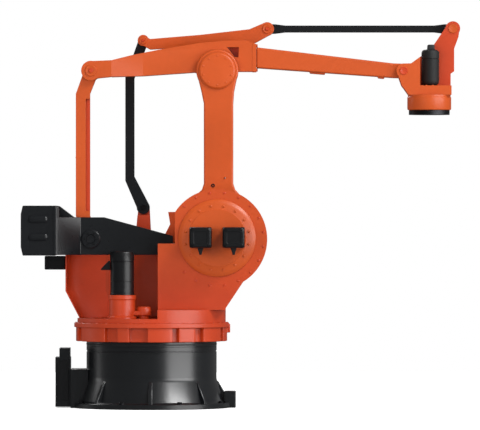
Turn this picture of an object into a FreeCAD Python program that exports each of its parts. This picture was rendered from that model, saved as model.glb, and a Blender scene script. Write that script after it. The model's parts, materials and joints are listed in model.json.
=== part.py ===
"""Palletizing robot arm with four driven axes, one solid per sub-part.

Millimetres, +Z up, the first axis on Z, the arm reaching along +X.
The near side, which carries the counterweight lever, faces -Y.
"""
import math
import os

import FreeCAD, Part
import Sketcher

SIZES = {
    # pivots in the rest pose
    "shoulder_x": 470,
    "shoulder_z": 1205,
    "link_length": 1200,
    "arm_length": 1330,
    "rear_length": 900,
    "knob_dx": 357,
    "knob_dz": 307,
    "guide_dx": 533,
    "guide_dz": 225,
    "wrist_offset": 185,
    # pins and bores
    "shaft_r": 70,
    "elbow_pin_r": 60,
    "rod_pin_r": 30,
    "wrist_pin_r": 28,
    "guide_pin_r": 20,
    "running_gap": 0.05,
    "open_gap": 0.5,
    # base
    "base_r": 465,
    "base_top": 440,
    "skirt_r": 515,
    "skirt_h": 205,
    "plate_r": 560,
    "plate_t": 38,
    "rib_h": 210,
    "rib_t": 32,
    "floor_bolt_r": 538,
    "floor_hole_r": 11,
    "tray_x": 578,
    "box_x": 685,
    "box_half": 110,
    # slewing ring and turntable
    "bearing_h": 36,
    "pilot_r": 100,
    "ring_h": 132,
    "ring_r": 540,
    "ring_rim_r": 553,
    "ring_rim_h": 32,
    "face_gap": 0.5,
    "deck_h": 32,
    "neck_h": 63,
    "neck_r": 530,
    "neck_x": 49,
    # cheeks of the turntable
    "cheek_r": 355,
    "near_out": -330,
    "near_in": -200,
    "far_in": 110,
    "far_out": 240,
    "notch_x": 170,
    "notch_z": 1173,
    "web_foot_x": 530,
    "web_foot_z": 714,
    "web_bend_x": 655,
    "web_bend_z": 902,
    "web_top_x": 789,
    "web_top_z": 1052,
    "wall_x": 616,
    "wall_foot_x": 516,
    "wall_bend_z": 833,
    "wall_top_z": 1180,
    "wall_near": -10,
    "wall_t": 40,
    # drives
    "cover_r": 275,
    "cover_face_r": 245,
    "cover_t": 30,
    "cover_lift": 8,
    "motor_w": 157,
    "motor_h": 147,
    "motor_long": 280,
    "motor_dx": 117,
    "motor_dz": 11.5,
    "slew_motor_x": -204,
    "slew_motor_y": -300,
    "slew_motor_r": 87,
    "slew_motor_low": 808,
    "slew_motor_high": 1118,
    "slew_boss_r": 96,
    "pinion_boss_x": -50,
    "pinion_boss_r": 50,
    "pinion_boss_z": 724,
    # link arm
    "link_rear": 96,
    "link_front": 114,
    "link_deep": 100,
    "link_hub_r": 280,
    "fork_half": 150,
    "fork_r": 150,
    "fork_slot": 300,
    "cap_r": 132,
    # counterweight lever
    "lever_near": -195,
    "lever_far": -112,
    "lever_hub_r": 150,
    "lever_low": 113,
    "lever_high": 155,
    "lever_end": 1146,
    "horn_long": 174,
    "weight_end": 1393,
    "weight_low": 117,
    "weight_high": 238,
    "weight_near": -340,
    # rear push rod
    "push_near": -105,
    "push_far": -20,
    "push_eye_r": 55,
    "push_in": 8,
    "push_out": 109,
    "push_bend": 165,
    "push_step": 35,
    # rocker and its rods
    "rocker_near": 160,
    "rocker_far": 240,
    "clevis_near": 180,
    "clevis_far": 220,
    "rod_near": 185,
    "rod_far": 215,
    "rocker_hub_r": 95,
    "front_knob_r": 49,
    "rear_knob_r": 40,
    "rod_head_r": 38,
    "guide_in": 63,
    "guide_out": 129,
    "guide_foot_r": 47,
    # arm
    "arm_deep": 95,
    "arm_hub_r": 130,
    "arm_front": 279,
    "arm_root": 755,
    "arm_taper": 225,
    "arm_pocket": 60,
    "rear_boss_r": 70,
    "arm_fork_near": -150,
    "arm_fork_far": 25,
    "arm_slot_near": -110,
    "arm_slot_far": -15,
    "boom_deep": 90,
    "boom_end_deep": 62,
    "boom_end_r": 52,
    # wrist
    "wrist_deep": 105,
    "wrist_in": 68,
    "wrist_low": 171,
    "wrist_seat": 105,
    "collar_r": 157,
    "collar_low": 280,
    "wrist_motor_r": 64,
    "wrist_motor_top": 152,
    "flange_r": 146,
    "flange_t": 32.5,
    "tool_bolt_r": 100,
    "tool_hole_r": 6,
    "tool_bore_r": 50,
}

DOC = FreeCAD.newDocument("palletizing_robot")
PARTS = []
CUTS = []


class Size:
    """A number together with the spreadsheet expression that gives it."""

    def __init__(self, value, text):
        self.value = value
        self.text = text

    def joined(self, other, sign, value, swap=False):
        first, second = self.text, text_of(other)
        if swap:
            first, second = second, first
        return Size(value, f"({first} {sign} {second})")

    def __add__(self, other):
        return self.joined(other, "+", self.value + value_of(other))

    def __sub__(self, other):
        return self.joined(other, "-", self.value - value_of(other))

    def __mul__(self, other):
        return self.joined(other, "*", self.value * value_of(other))

    def __truediv__(self, other):
        return self.joined(other, "/", self.value / value_of(other))

    def __radd__(self, other):
        return self.joined(other, "+", self.value + value_of(other), swap=True)

    def __rsub__(self, other):
        return self.joined(other, "-", value_of(other) - self.value, swap=True)

    def __rmul__(self, other):
        return self.joined(other, "*", self.value * value_of(other), swap=True)

    def __neg__(self):
        return Size(-self.value, f"(0 - {self.text})")


def value_of(item):
    return item.value if isinstance(item, Size) else item


def text_of(item):
    return item.text if isinstance(item, Size) else f"({item:.6f})"


def make_sheet():
    """Write every size to a spreadsheet and return them by name."""
    sheet = DOC.addObject("Spreadsheet::Sheet", "sizes")
    table = {}
    for row, (name, value) in enumerate(SIZES.items(), start=1):
        sheet.set(f"A{row}", name)
        sheet.set(f"B{row}", f"{value}")
        sheet.setAlias(f"B{row}", name)
        table[name] = Size(value, f"sizes.{name}")
    DOC.recompute()
    return table


class Names:
    """The sizes as attributes."""

    def __init__(self, table):
        for name, item in table.items():
            setattr(self, name, item)


s = Names(make_sheet())

# pivots and levels that follow from the sizes
RING_LOW = s.base_top + s.bearing_h
RING_HIGH = RING_LOW + s.ring_h
RIM_LOW = RING_HIGH - s.ring_rim_h
DECK_Z = RING_HIGH + s.deck_h
NECK_Z = DECK_Z + s.neck_h
ELBOW_Z = s.shoulder_z + s.link_length
REAR_X = s.shoulder_x - s.rear_length
WRIST_X = s.shoulder_x + s.arm_length
FLANGE_X = WRIST_X + s.wrist_offset
COLLAR_Z = ELBOW_Z - s.collar_low


# sketches and features


def body_at(label, x=0, z=0):
    """Start a sub-part whose own origin sits at X, Z."""
    body = DOC.addObject("PartDesign::Body", label)
    body.Label = label
    body.setExpression("Placement.Base.x", text_of(x))
    body.setExpression("Placement.Base.z", text_of(z))
    PARTS.append(body)
    return body


def origin_item(body, role):
    return next(item for item in body.Origin.OriginFeatures if item.Role == role)


def rect(x0, x1, y0, y1):
    return [(x0, y0), (x1, y0), (x1, y1), (x0, y1)]


def circle(x, y, radius):
    return (x, y, radius)


def bind(sketch, kind, item, *places):
    """Add a dimension to the sketch and tie it to its expression."""
    number = sketch.addConstraint(Sketcher.Constraint(kind, *places, value_of(item)))
    sketch.setExpression(f"Constraints[{number}]", text_of(item))


def add_circle(sketch, loop):
    x, y, radius = loop
    centre = FreeCAD.Vector(value_of(x), value_of(y), 0)
    edge = sketch.addGeometry(Part.Circle(centre, FreeCAD.Vector(0, 0, 1), value_of(radius)), False)
    bind(sketch, "Radius", radius, edge)
    bind(sketch, "DistanceX", x, edge, 3)
    bind(sketch, "DistanceY", y, edge, 3)


def add_polygon(sketch, loop):
    corners = [FreeCAD.Vector(value_of(x), value_of(y), 0) for x, y in loop]
    first = None
    for number, corner in enumerate(corners):
        after = corners[(number + 1) % len(corners)]
        edge = sketch.addGeometry(Part.LineSegment(corner, after), False)
        first = edge if first is None else first
    count = len(corners)
    for number in range(count):
        after = first + (number + 1) % count
        sketch.addConstraint(Sketcher.Constraint("Coincident", first + number, 2, after, 1))
    for number, (x, y) in enumerate(loop):
        bind(sketch, "DistanceX", x, first + number, 1)
        bind(sketch, "DistanceY", y, first + number, 1)


def sketch_on(body, role, offset, loops):
    """Draw closed loops on one of the body's own origin planes."""
    sketch = body.newObject("Sketcher::SketchObject", "outline")
    sketch.AttachmentSupport = [(origin_item(body, role), "")]
    sketch.MapMode = "FlatFace"
    lift = -offset if role == "XZ_Plane" else offset
    sketch.setExpression("AttachmentOffset.Base.z", text_of(lift))
    for loop in loops:
        if isinstance(loop, tuple):
            add_circle(sketch, loop)
        else:
            add_polygon(sketch, loop)
    return sketch


def pad(body, sketch, length):
    feature = body.newObject("PartDesign::Pad", "block")
    feature.Profile = sketch
    feature.setExpression("Length", text_of(length))
    body.Tip = feature
    return feature


def pocket(body, sketch, length):
    feature = body.newObject("PartDesign::Pocket", "cut")
    feature.Profile = sketch
    feature.setExpression("Length", text_of(length))
    body.Tip = feature
    CUTS.append(feature)
    return feature


def along_y(body, near, far, *loops):
    """Fill the loops, drawn in X and Z, from Y near to Y far."""
    return pad(body, sketch_on(body, "XZ_Plane", far, loops), far - near)


def cut_y(body, near, far, *loops):
    return pocket(body, sketch_on(body, "XZ_Plane", near, loops), far - near)


def along_z(body, low, high, *loops):
    """Fill the loops, drawn in X and Y, from Z low to Z high."""
    return pad(body, sketch_on(body, "XY_Plane", low, loops), high - low)


def cut_z(body, low, high, *loops):
    return pocket(body, sketch_on(body, "XY_Plane", high, loops), high - low)


def along_x(body, back, front, *loops):
    """Fill the loops, drawn in Y and Z, from X back to X front."""
    return pad(body, sketch_on(body, "YZ_Plane", back, loops), front - back)


def turned(body, role, profile):
    """Turn a profile about the sketch's vertical axis."""
    sketch = sketch_on(body, role, 0, [profile])
    feature = body.newObject("PartDesign::Revolution", "turned")
    feature.Profile = sketch
    feature.ReferenceAxis = (sketch, ["V_Axis"])
    feature.Angle = 360
    body.Tip = feature
    return feature


def turn_z(body, profile):
    return turned(body, "XZ_Plane", profile)


def turn_y(body, profile):
    return turned(body, "XY_Plane", profile)


def repeat(body, features, role, count):
    """Repeat features evenly round one of the body's axes."""
    pattern = body.newObject("PartDesign::PolarPattern", "ring")
    pattern.Originals = features
    pattern.Axis = (origin_item(body, role), [""])
    pattern.Angle = 360
    pattern.Occurrences = count
    body.Tip = pattern
    return pattern


def polar_rect(angle, half_angle, inner, outer):
    """A radial patch in plan between two radii."""
    low = math.radians(angle - half_angle)
    high = math.radians(angle + half_angle)
    corners = [(inner, low), (outer, low), (outer, high), (inner, high)]
    return [(radius * math.cos(turn), radius * math.sin(turn)) for radius, turn in corners]


def pin(label, x, z, radius, near, far):
    """A plain round pin along Y."""
    body = body_at(label, x, z)
    along_y(body, near, far, circle(0, 0, radius))
    return body


# base


def base_casting():
    body = body_at("base_casting")
    turn_z(body, [
        (0, 0),
        (s.plate_r, 0),
        (s.plate_r, s.plate_t),
        (s.skirt_r, s.plate_t),
        (s.base_r, s.skirt_h),
        (s.base_r, s.base_top),
        (0, s.base_top),
    ])
    half = s.rib_t / 2
    rib = along_y(body, -half, half, [
        (s.base_r - 15, s.plate_t - 5),
        (s.plate_r - 4, s.plate_t - 5),
        (s.plate_r - 8, s.plate_t + 20),
        (s.base_r, s.rib_h),
        (s.base_r - 15, s.rib_h),
    ])
    repeat(body, [rib], "Z_Axis", 8)
    along_x(body, -s.tray_x, -s.base_r + 20, rect(-s.box_half - 30, s.box_half + 30, s.plate_t - 8, 278))
    along_x(body, s.plate_r - 40, s.plate_r + 43, rect(-70, 70, 0, 120))
    turn = math.radians(22.5)
    x, y = s.floor_bolt_r * math.cos(turn), s.floor_bolt_r * math.sin(turn)
    hole = cut_z(body, 0, s.plate_t, circle(x, y, s.floor_hole_r))
    repeat(body, [hole], "Z_Axis", 8)


def bearing_ring():
    body = body_at("bearing_ring")
    turn_z(body, [
        (0, s.base_top),
        (s.base_r, s.base_top),
        (s.base_r, RING_LOW),
        (s.pilot_r, RING_LOW),
        (s.pilot_r, RING_HIGH - 2),
        (0, RING_HIGH - 2),
    ])


def cable_box():
    body = body_at("cable_box")
    along_y(body, -s.box_half, s.box_half, [
        (-s.box_x, 8),
        (-s.tray_x, 8),
        (-s.tray_x, 362),
        (-s.tray_x - 4, 362),
        (-s.tray_x - 4, 427),
        (-s.box_x + 29, 427),
        (-s.box_x + 29, 362),
        (-s.box_x, 362),
    ])


# turntable


def slew_ring():
    body = body_at("slew_ring")
    low = RING_LOW + s.face_gap
    bore = s.pilot_r + s.running_gap
    turn_z(body, [
        (bore, low),
        (s.ring_r, low),
        (s.ring_r, RIM_LOW),
        (s.ring_rim_r, RIM_LOW),
        (s.ring_rim_r, RING_HIGH),
        (bore, RING_HIGH),
    ])
    recesses = [(-121.6, 5.7), (-99.2, 7.1), (-70.6, 2.5), (-49.9, 3.9)]
    recesses += [(-angle, half) for angle, half in recesses] + [(-161, 4), (161, 4), (-20, 3), (20, 3)]
    for angle, half in recesses:
        patch = polar_rect(angle, half, s.ring_r - 38, s.ring_r + 8)
        cut_z(body, low, RIM_LOW, patch)
    along_z(body, RIM_LOW - 40, RING_HIGH - 10, rect(s.ring_r - 20, s.ring_rim_r + 9, -30, 30))


def turntable():
    body = body_at("turntable")
    along_z(body, RING_HIGH, NECK_Z, circle(0, 0, s.neck_r))
    cut_z(body, DECK_Z, NECK_Z, rect(-s.neck_r - 10, s.neck_x, -s.neck_r - 10, s.neck_r + 10))


def cheek_disc():
    return circle(s.shoulder_x, s.shoulder_z, s.cheek_r)


def cheek_plate():
    return [
        (s.neck_x, NECK_Z),
        (s.web_foot_x, NECK_Z),
        (s.web_foot_x, s.web_foot_z),
        (s.web_bend_x, s.web_bend_z),
        (s.web_top_x, s.web_top_z),
        (s.shoulder_x, s.shoulder_z),
        (s.notch_x + 60, s.notch_z),
        (s.neck_x, s.notch_z),
    ]


def near_cheek():
    body = body_at("near_cheek")
    along_y(body, s.near_out, s.near_in, cheek_plate())
    along_y(body, s.near_out, s.near_in, cheek_disc())
    corner = s.shoulder_z + 193
    along_y(body, s.near_out, s.near_in, rect(s.notch_x, s.notch_x + 80, s.notch_z - 40, corner))
    left = s.shoulder_x - s.cheek_r - 10
    cut_y(body, s.near_out, s.near_in, rect(left, s.notch_x, s.notch_z, corner + 60))
    cut_y(body, s.near_out, s.near_in, circle(s.shoulder_x, s.shoulder_z, s.shaft_r))


def far_cheek():
    body = body_at("far_cheek")
    along_y(body, s.far_in, s.far_out, cheek_plate())
    along_y(body, s.far_in, s.far_out, cheek_disc())
    spur_x = s.notch_x - 53
    along_y(body, s.far_in, s.far_out, [
        (s.neck_x, s.notch_z - 20),
        (s.notch_x + 60, s.notch_z - 20),
        (s.notch_x + 60, s.shoulder_z + 193),
        (spur_x, s.shoulder_z + 193),
        (spur_x + 14, s.shoulder_z + 105),
        (spur_x - 19, s.shoulder_z + 40),
        (s.neck_x, s.notch_z),
    ])
    cut_y(body, s.far_in, s.far_out, circle(s.shoulder_x, s.shoulder_z, s.shaft_r))


def front_web():
    body = body_at("front_web")
    along_y(body, s.near_in, s.far_in, [
        (s.web_foot_x - 150, NECK_Z),
        (s.web_foot_x, NECK_Z),
        (s.web_foot_x, s.web_foot_z),
        (s.web_bend_x, s.web_bend_z),
        (s.web_top_x, s.web_top_z),
        (s.web_top_x - 24, s.web_top_z + 18),
        (s.web_bend_x - 24, s.web_bend_z + 18),
        (s.web_foot_x - 34, s.web_foot_z + 14),
        (s.web_foot_x - 150, NECK_Z + 16),
    ])


def wall_outline(front):
    """The slanted side of the rear trough, from its back edge to X front."""
    return [
        (-s.wall_foot_x, DECK_Z),
        (front, DECK_Z),
        (front, s.wall_top_z),
        (-s.wall_x, s.wall_top_z),
        (-s.wall_x, s.wall_bend_z),
    ]


def far_wall():
    body = body_at("far_wall")
    along_y(body, s.far_in, s.far_in + s.wall_t, wall_outline(s.neck_x))


def rear_wall():
    body = body_at("rear_wall")
    along_y(body, s.wall_near, s.far_in, [
        (-s.wall_foot_x, DECK_Z),
        (-s.wall_foot_x + s.wall_t, DECK_Z),
        (-s.wall_x + s.wall_t, s.wall_bend_z + 10),
        (-s.wall_x + s.wall_t, s.wall_top_z),
        (-s.wall_x, s.wall_top_z),
        (-s.wall_x, s.wall_bend_z),
    ])


def gear_cover(label, face, outward):
    """A chamfered round cover on a cheek; outward is -1 near, +1 far."""
    body = body_at(label, s.shoulder_x, s.shoulder_z + s.cover_lift)
    rim = face + outward * s.cover_t * 0.4
    outer = face + outward * s.cover_t
    turn_y(body, [
        (0, face),
        (s.cover_r, face),
        (s.cover_r, rim),
        (s.cover_face_r, outer),
        (0, outer),
    ])


def square_motor(label, side, near, far):
    """A square servo motor along Y with its plug below; side is -1 rear, +1 front."""
    body = body_at(label, s.shoulder_x + side * s.motor_dx, s.shoulder_z + s.motor_dz)
    half_w = s.motor_w / 2
    half_h = s.motor_h / 2
    along_y(body, near, far, rect(-half_w, half_w, -half_h, half_h))
    middle = (near + far) / 2
    along_y(body, middle - 60, middle + 60, [
        (-21, -half_h + 5),
        (-21, -half_h - 6),
        (-8, -half_h - 48),
        (8, -half_h - 48),
        (21, -half_h - 6),
        (21, -half_h + 5),
    ])


def shoulder_shaft():
    pin("shoulder_shaft", s.shoulder_x, s.shoulder_z, s.shaft_r, s.near_out, s.far_out)


def slew_gearbox():
    body = body_at("slew_gearbox")
    x, y = s.slew_motor_x, s.slew_motor_y
    along_z(body, DECK_Z, s.slew_motor_low, circle(x, y, s.slew_boss_r))
    along_z(body, DECK_Z, s.pinion_boss_z, circle(s.pinion_boss_x, y, s.pinion_boss_r))
    along_z(body, DECK_Z, s.pinion_boss_z - 30, rect(x, s.pinion_boss_x, y - 45, y + 45))


def slew_motor():
    body = body_at("slew_motor")
    place = circle(s.slew_motor_x, s.slew_motor_y, s.slew_motor_r)
    along_z(body, s.slew_motor_low, s.slew_motor_high, place)


def slew_motor_plug():
    body = body_at("slew_motor_plug")
    edge = s.slew_motor_x - s.slew_motor_r
    along_y(body, s.slew_motor_y - 25, s.slew_motor_y + 25, [
        (edge + 30, 985),
        (edge - 64, 985),
        (edge - 64, 994),
        (edge - 9, 1052),
        (edge + 30, 1052),
    ])
    cut_z(body, 985, 1052, circle(s.slew_motor_x, s.slew_motor_y, s.slew_motor_r + 0.8))


def rod_bracket():
    body = body_at("rod_bracket", s.shoulder_x - s.guide_dx, s.shoulder_z + s.guide_dz)
    near = s.far_in + s.wall_t
    along_y(body, near, s.rocker_far, [(-70, -560), (70, -560), (60, -260), (46, 0), (-36, 0), (-60, -260)])
    along_y(body, near, s.rocker_far, circle(0, 0, 41))
    cut_y(body, near, s.clevis_far, rect(-90, 90, -s.guide_foot_r - 8, 60))
    cut_y(body, s.clevis_far, s.rocker_far, circle(0, 0, s.guide_pin_r))


def junction_box():
    body = body_at("junction_box")
    along_x(body, -s.wall_x - 150, -s.wall_x, rect(20, 140, 985, 1084))


# link arm


def link_arm():
    body = body_at("link_arm", s.shoulder_x, s.shoulder_z)
    top = s.link_length
    slot = top - s.fork_slot
    rear, front = -s.link_rear, s.link_front
    along_y(body, -s.link_deep, s.link_deep, circle(0, 0, s.link_hub_r))
    along_y(body, -s.link_deep, s.link_deep, [
        (rear - 50, 180),
        (front + 46, 180),
        (front + 46, 318),
        (front + 14, 352),
        (front, 395),
        (front, slot),
        (rear, slot),
        (rear, 395),
        (rear - 14, 352),
        (rear - 50, 318),
    ])
    along_x(body, rear, front, [
        (-s.link_deep, slot - 300),
        (s.link_deep, slot - 300),
        (s.fork_half, slot - 30),
        (s.fork_half, top - 235),
        (-s.fork_half, top - 235),
        (-s.fork_half, slot - 30),
    ])
    along_y(body, -s.fork_half, s.fork_half, [
        (rear, slot - 20),
        (front, slot - 20),
        (front, top - 235),
        (front + 6, top - 147),
        (s.fork_r - 2, top - 11),
        (0, top + 20),
        (2 - s.fork_r, top - 11),
        (rear - 18, top - 147),
        (rear, top - 235),
    ])
    along_y(body, -s.fork_half, s.fork_half, circle(0, top, s.fork_r))
    cut_y(body, -s.link_deep, s.link_deep, rect(-s.fork_r - 20, s.fork_r + 20, slot, top + s.fork_r + 20))
    cut_y(body, -s.fork_half, s.fork_half, circle(0, top, s.elbow_pin_r))
    cut_y(body, -s.link_deep, s.link_deep, circle(0, 0, s.shaft_r + s.running_gap))


def elbow_cap():
    body = body_at("elbow_cap", s.shoulder_x, ELBOW_Z)
    face = -s.fork_half
    turn_y(body, [(0, face), (s.cap_r, face), (s.cap_r, face - 10), (s.cap_r - 12, face - 22), (0, face - 22)])


def elbow_pin():
    pin("elbow_pin", s.shoulder_x, ELBOW_Z, s.elbow_pin_r, -s.fork_half, s.rocker_far + 6)


# counterweight lever


def lever():
    body = body_at("lever", s.shoulder_x, s.shoulder_z)
    near, far = s.lever_near, s.lever_far
    tip = s.shoulder_x - 155
    along_y(body, near, far, [
        (-s.lever_end, -s.lever_low),
        (-120, -s.lever_low),
        (-120, -32),
        (-tip, -32),
        (-tip, 22),
        (-806, s.lever_high),
        (-1017, s.lever_high),
        (-s.lever_end + 24, s.weight_high - 4),
        (-s.lever_end, s.weight_high),
    ])
    along_y(body, near, far, circle(0, 0, s.lever_hub_r))
    along_z(body, -s.lever_low, s.lever_high, [
        (-s.lever_end, near + 10),
        (-s.lever_end, s.weight_near),
        (-s.lever_end + 10, s.weight_near),
        (-s.lever_end + s.horn_long, near),
        (-s.lever_end + s.horn_long, near + 10),
    ])
    cut_y(body, near, far, circle(0, 0, s.shaft_r + s.running_gap))
    cut_y(body, near, far, circle(-s.rear_length, 0, s.rod_pin_r))


def counterweight():
    body = body_at("counterweight", s.shoulder_x, s.shoulder_z)
    along_y(body, s.weight_near, s.lever_far, [
        (-s.weight_end + 14, -s.weight_low),
        (-s.lever_end, -s.weight_low),
        (-s.lever_end, s.weight_high),
        (-s.weight_end + 14, s.weight_high),
        (-s.weight_end, s.weight_high - 60),
        (-s.weight_end, -s.weight_low + 60),
    ])
    for height in (135, -3):
        cut_y(body, s.weight_near, s.weight_near + 10, rect(-1325, -1212, height - 6, height + 6))


def crank_pin():
    pin("crank_pin", REAR_X, s.shoulder_z, s.rod_pin_r, s.lever_near, s.push_far + 5)


# rear push rod


def rear_push_rod():
    body = body_at("rear_push_rod", REAR_X, ELBOW_Z)
    near, far = s.push_near, s.push_far
    foot = -s.link_length
    eye = s.push_eye_r
    along_y(body, near, far, [
        (eye - 5, 0),
        (eye - 5, -20),
        (-s.push_in, -s.push_bend),
        (-s.push_in, foot + s.push_bend),
        (eye - 5, foot + 20),
        (eye - 5, foot),
        (5 - eye, foot),
        (-s.push_out, foot + s.push_bend),
        (-s.push_out, -s.push_bend),
        (5 - eye, 0),
    ])
    along_y(body, near, far, circle(0, 0, eye))
    along_y(body, near, far, circle(0, foot, eye))
    cut_y(body, near, near + s.push_step, rect(-s.push_in - 30, -s.push_in, foot + 200, -200))
    cut_y(body, near, far, circle(0, 0, s.rod_pin_r))
    cut_y(body, near, far, circle(0, foot, s.rod_pin_r + s.open_gap))


def rear_pin():
    pin("rear_pin", REAR_X, ELBOW_Z, s.rod_pin_r, s.arm_fork_near - 4, s.arm_fork_far + 4)


# rocker and its rods


def rocker():
    body = body_at("rocker", s.shoulder_x, ELBOW_Z)
    near, far = s.rocker_near, s.rocker_far
    hub = s.rocker_hub_r
    along_y(body, near, far, [
        (-s.guide_dx, s.guide_dz + 38),
        (-s.guide_dx + 50, s.guide_dz + 10),
        (-122, s.guide_dz + 40),
        (s.knob_dx - 128, s.knob_dz - 2),
        (s.knob_dx - 25, s.knob_dz + 42),
        (s.knob_dx + 30, s.knob_dz - 38),
        (s.knob_dx - 98, s.knob_dz - 108),
        (hub, 0),
        (-hub, 0),
        (-200, s.guide_dz - 50),
        (-s.guide_dx + 50, s.guide_dz - 66),
        (-s.guide_dx, s.guide_dz - 38),
    ])
    along_y(body, near, far, circle(0, 0, hub))
    along_y(body, near, far, circle(-s.guide_dx, s.guide_dz, s.rear_knob_r))
    along_y(body, near, far, circle(s.knob_dx, s.knob_dz, s.front_knob_r))
    slots = [
        rect(-s.guide_dx - 90, -s.guide_dx + 72, s.guide_dz - 140, s.guide_dz + 80),
        rect(s.knob_dx - 70, s.knob_dx + 80, s.knob_dz - 140, s.knob_dz + 80),
    ]
    cut_y(body, s.clevis_near, s.clevis_far, *slots)
    cut_y(body, near, far, circle(0, 0, s.elbow_pin_r + s.running_gap))
    cut_y(body, near, far, circle(-s.guide_dx, s.guide_dz, s.guide_pin_r))
    cut_y(body, near, far, circle(s.knob_dx, s.knob_dz, s.guide_pin_r))


def rocker_pins():
    near, far = s.rocker_near - 4, s.rocker_far + 4
    pin("rocker_front_pin", s.shoulder_x + s.knob_dx, ELBOW_Z + s.knob_dz, s.guide_pin_r, near, far)
    pin("rocker_rear_pin", s.shoulder_x - s.guide_dx, ELBOW_Z + s.guide_dz, s.guide_pin_r, near, far)


def bracket_pin():
    x, z = s.shoulder_x - s.guide_dx, s.shoulder_z + s.guide_dz
    pin("bracket_pin", x, z, s.guide_pin_r, s.rod_near - 12, s.rocker_far + 4)


def guide_rod():
    body = body_at("guide_rod", s.shoulder_x - s.guide_dx, s.shoulder_z + s.guide_dz)
    near, far = s.rod_near, s.rod_far
    top = s.link_length
    head = s.rod_head_r
    foot = s.guide_foot_r
    along_y(body, near, far, [
        (foot - 3, 0),
        (foot - 3, 18),
        (-s.guide_in, 222),
        (-s.guide_in, top - 275),
        (head - 3, top - 15),
        (head - 3, top),
        (3 - head, top),
        (-s.guide_out, top - 265),
        (-s.guide_out, 192),
        (3 - foot, -6),
    ])
    along_y(body, near, far, circle(0, 0, foot))
    along_y(body, near, far, circle(0, top, head))
    cut_y(body, near, far, circle(0, 0, s.guide_pin_r + s.running_gap))
    cut_y(body, near, far, circle(0, top, s.guide_pin_r + s.open_gap))


def wrist_rod():
    body = body_at("wrist_rod", s.shoulder_x + s.knob_dx, ELBOW_Z + s.knob_dz)
    near, far = s.rod_near, s.rod_far
    head = s.rod_head_r
    end = s.arm_length
    along_y(body, near, far, [
        (0, -head + 2),
        (60, -head + 4),
        (130, -25),
        (end - 130, -25),
        (end - 60, -head + 4),
        (end, -head + 2),
        (end, head - 2),
        (end - 60, head - 4),
        (end - 130, 25),
        (130, 25),
        (60, head - 4),
        (0, head - 2),
    ])
    along_y(body, near, far, circle(0, 0, head))
    along_y(body, near, far, circle(end, 0, head))
    cut_y(body, near, far, circle(0, 0, s.guide_pin_r + s.running_gap))
    cut_y(body, near, far, circle(end, 0, s.guide_pin_r + s.open_gap))


# arm


def arm_casting():
    body = body_at("arm_casting", s.shoulder_x, ELBOW_Z)
    deep = s.arm_deep
    root = -s.arm_root
    front = root + s.arm_taper
    rear = -s.rear_length
    along_y(body, -deep, deep, [
        (root, -43),
        (-523, -36),
        (-162, -11),
        (0, -60),
        (150, -5),
        (s.arm_front, -5),
        (s.arm_front, 190),
        (259, 194),
        (209, 215),
        (59, 215),
        (-122, 199),
        (-423, 149),
        (root + 132, 109),
        (root, 74),
    ])
    along_y(body, s.arm_fork_near, s.arm_fork_far, [
        (rear, -s.rear_boss_r + 12),
        (root, -43),
        (front, -37),
        (front, 126),
        (root + 132, 108),
        (root, 74),
        (rear, s.rear_boss_r - 2),
    ])
    cut_z(body, -60, 140, [
        (root, s.arm_fork_near - 10),
        (front, s.arm_fork_near - 10),
        (front, -deep),
        (root, s.arm_fork_near),
    ])
    along_y(body, s.arm_fork_near, s.arm_fork_far, circle(rear, 0, s.rear_boss_r))
    along_y(body, -deep, deep, circle(0, 0, s.arm_hub_r))
    slot = rect(rear - s.rear_boss_r - 20, root, -120, 130)
    cut_y(body, s.arm_slot_near, s.arm_slot_far, slot)
    cut_y(body, -deep, s.arm_pocket - deep, [(69, 168), (124, 99), (151, 95), (154, 168)])
    cut_y(body, -deep, deep, circle(0, 0, s.elbow_pin_r + s.running_gap))
    cut_y(body, s.arm_fork_near, s.arm_fork_far, circle(rear, 0, s.rod_pin_r + s.running_gap))


def boom():
    body = body_at("boom", s.shoulder_x, ELBOW_Z)
    deep = s.boom_deep
    end = s.arm_length
    back = s.arm_front
    along_y(body, -deep, deep, [
        (back, 21),
        (end - 74, -50),
        (end, -s.boom_end_r),
        (end, s.boom_end_r),
        (end - 74, 54),
        (back, 168),
    ])
    along_y(body, -deep, deep, circle(end, 0, s.boom_end_r))
    for side in (-1, 1):
        cut_z(body, -60, 170, [
            (back + 120, side * deep),
            (end - 90, side * s.boom_end_deep),
            (end + 60, side * s.boom_end_deep),
            (end + 60, side * (deep + 10)),
            (back + 120, side * (deep + 10)),
        ])
    cut_y(body, -s.boom_end_deep, s.boom_end_deep, circle(end, 0, s.wrist_pin_r + s.running_gap))


# wrist


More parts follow.
